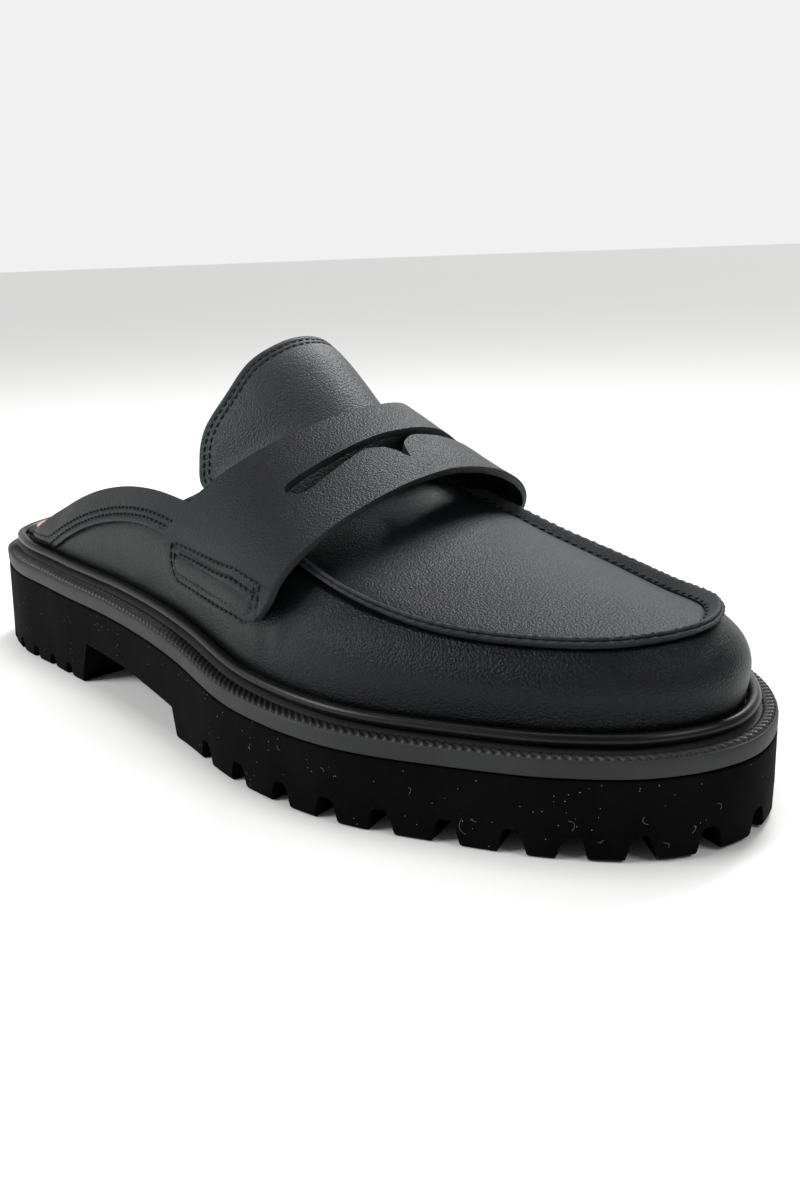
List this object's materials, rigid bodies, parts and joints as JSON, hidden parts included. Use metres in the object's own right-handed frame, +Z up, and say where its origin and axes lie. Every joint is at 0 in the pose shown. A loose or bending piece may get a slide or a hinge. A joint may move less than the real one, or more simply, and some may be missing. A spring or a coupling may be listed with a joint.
{
  "type": "loafer",
  "caption": "Backless penny loafer in black leather with a raised moc seam, slotted saddle strap and tall tongue on a chunky lugged rubber sole.",
  "frame": {"origin": "on the floor, in the middle of the sole's length and width", "axes": "+Z up from the floor, toe towards -Y, heel towards +Y, outer side of the foot towards -X"},
  "size_m": [0.1072, 0.2821, 0.1035],
  "materials": {
    "lug_rubber": "matte",
    "band_rubber": "satin",
    "bead_rubber": "satin",
    "upper_leather": "satin, fine grain",
    "tongue_leather": "satin, fine grain",
    "strap_leather": "satin, fine grain",
    "rim_leather": "satin",
    "sock_leather": "matte"
  },
  "bodies": {
    "root": {"outsole": "lug_rubber", "midsole": "band_rubber", "welt": "bead_rubber", "upper": "upper_leather", "tongue": "tongue_leather", "saddle_strap": "strap_leather", "insole": "rim_leather", "sock_liner": "sock_leather"}
  },
  "joints": []
}
